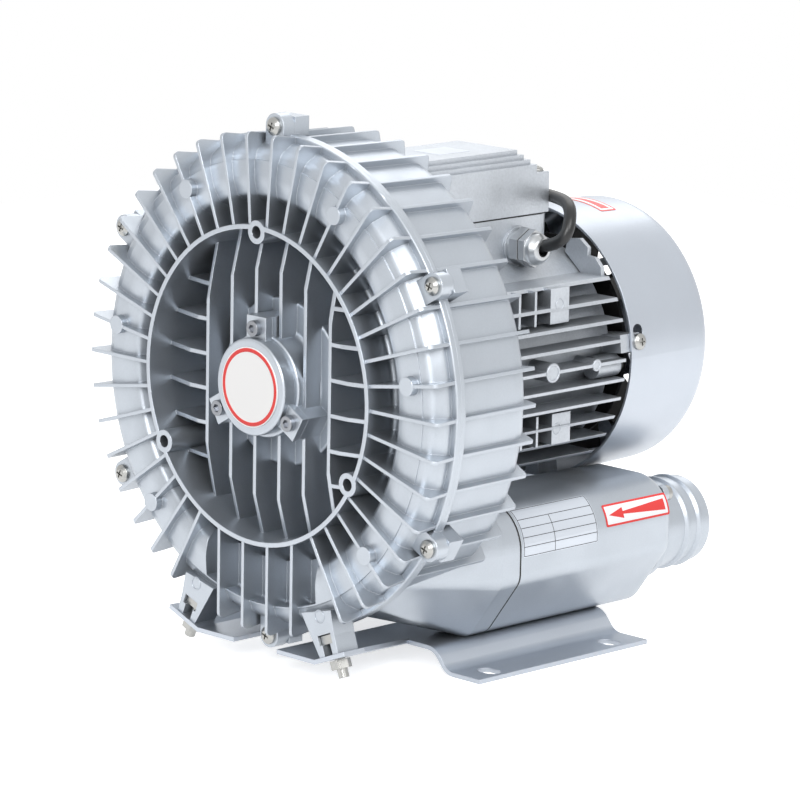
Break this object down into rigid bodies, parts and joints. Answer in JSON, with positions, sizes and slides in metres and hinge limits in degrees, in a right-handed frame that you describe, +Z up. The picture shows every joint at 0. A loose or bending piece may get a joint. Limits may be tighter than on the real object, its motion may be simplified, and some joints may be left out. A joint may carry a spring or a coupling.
{
  "type": "side channel blower",
  "caption": "Side channel blower with a finned cast casing, silenced hose ports, an electric motor under a fan cowl, a terminal box and sheet feet.",
  "frame": {"origin": "on the floor, midway between the four slots of the feet", "axes": "+Z up, +Y along the shaft from the finned cover to the fan cowl, +X to the right when facing the cover"},
  "size_m": [0.3368, 0.3121, 0.2999],
  "materials": {
    "silver_paint": "semi-gloss silver-grey paint over cast aluminium",
    "silver_cast": "satin silver-grey paint over a rough casting",
    "silver_sheet": "smooth satin silver-grey paint over sheet steel",
    "cast_alloy": "as cast",
    "zinc_screw": "zinc plated",
    "dark_steel": "blackened",
    "ground_steel": "ground",
    "bearing_steel": "polished",
    "core_steel": "stacked sheets",
    "copper_wire": "varnished copper wire",
    "brass_stud": "plain",
    "badge_plate": "white with a red ring, no text",
    "seal_rubber": "matt",
    "cable_rubber": "slightly glossy black",
    "black_plastic": "moulded",
    "gasket_sheet": "matt",
    "foam": "open foam"
  },
  "bodies": {
    "casing": {"front_cover": "silver_paint", "rear_housing": "silver_paint", "cover_screws": "zinc_screw", "bearing_cap": "silver_paint", "bearing_cap_screws": "dark_steel", "badge_plate": "badge_plate", "front_bearing_outer_ring": "bearing_steel", "rear_bearing_outer_ring": "bearing_steel", "preload_spring": "ground_steel", "shaft_seal": "seal_rubber", "stator_core": "core_steel", "stator_winding": "copper_wire", "motor_frame": "silver_cast", "motor_frame_screws": "zinc_screw", "rear_end_shield": "silver_cast", "end_shield_screws": "zinc_screw", "fan_cowl": "silver_sheet", "cowl_screws": "zinc_screw", "terminal_box_lid": "silver_cast", "lid_screws": "zinc_screw", "lid_gasket": "gasket_sheet", "capacitor": "cast_alloy", "terminal_block": "black_plastic", "terminal_studs": "brass_stud", "gland_washer": "seal_rubber", "gland_body": "silver_cast", "gland_nut": "silver_cast", "gland_seal": "seal_rubber", "port_gaskets": "gasket_sheet", "silencer_left": "silver_paint", "silencer_right": "silver_paint", "silencer_foam": "foam", "silencer_cores": "ground_steel", "hose_spigot_left": "silver_paint", "hose_spigot_right": "silver_paint", "tie_screws": "zinc_screw", "foot_left": "silver_sheet", "foot_right": "silver_sheet", "foot_screws": "zinc_screw", "foot_tee_bolts": "zinc_screw", "foot_tee_nuts": "zinc_screw", "mains_cable": "cable_rubber", "mains_cable_coil": "cable_rubber", "mains_plug": "black_plastic", "mains_plug_pins": "brass_stud"},
    "rotor": {"shaft": "ground_steel", "impeller_key": "ground_steel", "spacer_sleeve": "ground_steel", "impeller": "cast_alloy", "rotor_core": "core_steel", "rotor_cage": "cast_alloy", "cooling_fan": "black_plastic", "fan_clip": "dark_steel", "front_bearing_inner_ring": "bearing_steel", "rear_bearing_inner_ring": "bearing_steel"},
    "front_ball_set": {"front_bearing_cage": "brass_stud", "front_bearing_balls": "bearing_steel"},
    "rear_ball_set": {"rear_bearing_cage": "brass_stud", "rear_bearing_balls": "bearing_steel"}
  },
  "joints": [
    {"name": "rotor_spin", "type": "hinge", "parent": "casing", "child": "rotor", "pos_m": [0, 0, 0.155], "axis": [0, 1, 0], "continuous": true},
    {"name": "front_balls_spin", "type": "hinge", "parent": "casing", "child": "front_ball_set", "pos_m": [0, -0.1217, 0.155], "axis": [0, 1, 0], "continuous": true},
    {"name": "rear_balls_spin", "type": "hinge", "parent": "casing", "child": "rear_ball_set", "pos_m": [0, 0.0635, 0.155], "axis": [0, 1, 0], "continuous": true}
  ],
  "couplings": [
    {"joint": "front_balls_spin", "follows": "rotor_spin", "ratio": 0.3836},
    {"joint": "rear_balls_spin", "follows": "rotor_spin", "ratio": 0.3836}
  ]
}
